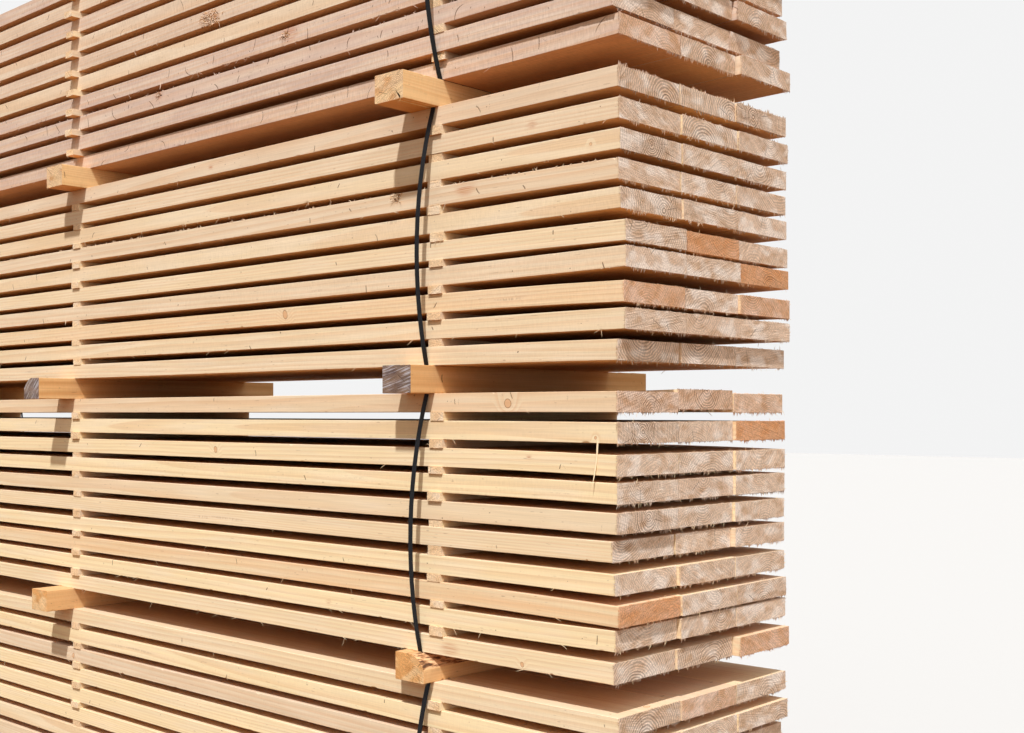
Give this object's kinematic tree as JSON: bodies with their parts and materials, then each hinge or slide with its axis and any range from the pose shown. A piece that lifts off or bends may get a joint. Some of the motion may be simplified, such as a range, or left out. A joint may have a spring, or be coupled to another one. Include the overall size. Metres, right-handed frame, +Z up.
{
  "type": "stack of lumber",
  "caption": "Stack of strapped packs of sawn softwood boards, layers parted by stickers, packs standing on timber bearers",
  "frame": {"origin": "centre of the stack's length and of the packs' width, on the floor, under the middle bearer of the lowest level", "axes": "+X along the boards to their near ends, +Y from the front long side to the rear, +Z up"},
  "size_m": [5.139, 1.14, 3.087],
  "materials": {
    "board_wood": "rough sawn pale softwood, unplaned",
    "sticker_wood": "rough sawn softwood lath",
    "bearer_wood": "rough sawn softwood, weathered ends",
    "strap_steel": "black painted steel band, semi-gloss",
    "seal_steel": "black painted steel, semi-gloss"
  },
  "bodies": {
    "root": {"pack_1_bearers": "bearer_wood", "pack_1_stickers": "sticker_wood", "pack_1_layer_01": "board_wood", "pack_1_layer_02": "board_wood", "pack_1_layer_03": "board_wood", "pack_1_layer_04": "board_wood", "pack_1_layer_05": "board_wood", "pack_1_layer_06": "board_wood", "pack_1_layer_07": "board_wood", "pack_1_layer_08": "board_wood", "pack_1_layer_09": "board_wood", "pack_1_layer_10": "board_wood", "pack_1_straps": "strap_steel", "pack_1_strap_seals": "seal_steel", "pack_2_bearers": "bearer_wood", "pack_2_stickers": "sticker_wood", "pack_2_layer_01": "board_wood", "pack_2_layer_02": "board_wood", "pack_2_layer_03": "board_wood", "pack_2_layer_04": "board_wood", "pack_2_layer_05": "board_wood", "pack_2_layer_06": "board_wood", "pack_2_layer_07": "board_wood", "pack_2_layer_08": "board_wood", "pack_2_layer_09": "board_wood", "pack_2_layer_10": "board_wood", "pack_2_straps": "strap_steel", "pack_2_strap_seals": "seal_steel", "pack_3_bearers": "bearer_wood", "pack_3_stickers": "sticker_wood", "pack_3_layer_01": "board_wood", "pack_3_layer_02": "board_wood", "pack_3_layer_03": "board_wood", "pack_3_layer_04": "board_wood", "pack_3_layer_05": "board_wood", "pack_3_layer_06": "board_wood", "pack_3_layer_07": "board_wood", "pack_3_layer_08": "board_wood", "pack_3_layer_09": "board_wood", "pack_3_layer_10": "board_wood", "pack_3_straps": "strap_steel", "pack_3_strap_seals": "seal_steel", "pack_4_bearers": "bearer_wood", "pack_4_stickers": "sticker_wood", "pack_4_layer_01": "board_wood", "pack_4_layer_02": "board_wood", "pack_4_layer_03": "board_wood", "pack_4_layer_04": "board_wood", "pack_4_layer_05": "board_wood", "pack_4_layer_06": "board_wood", "pack_4_layer_07": "board_wood", "pack_4_layer_08": "board_wood", "pack_4_layer_09": "board_wood", "pack_4_layer_10": "board_wood", "pack_4_straps": "strap_steel", "pack_4_strap_seals": "seal_steel"}
  },
  "joints": []
}
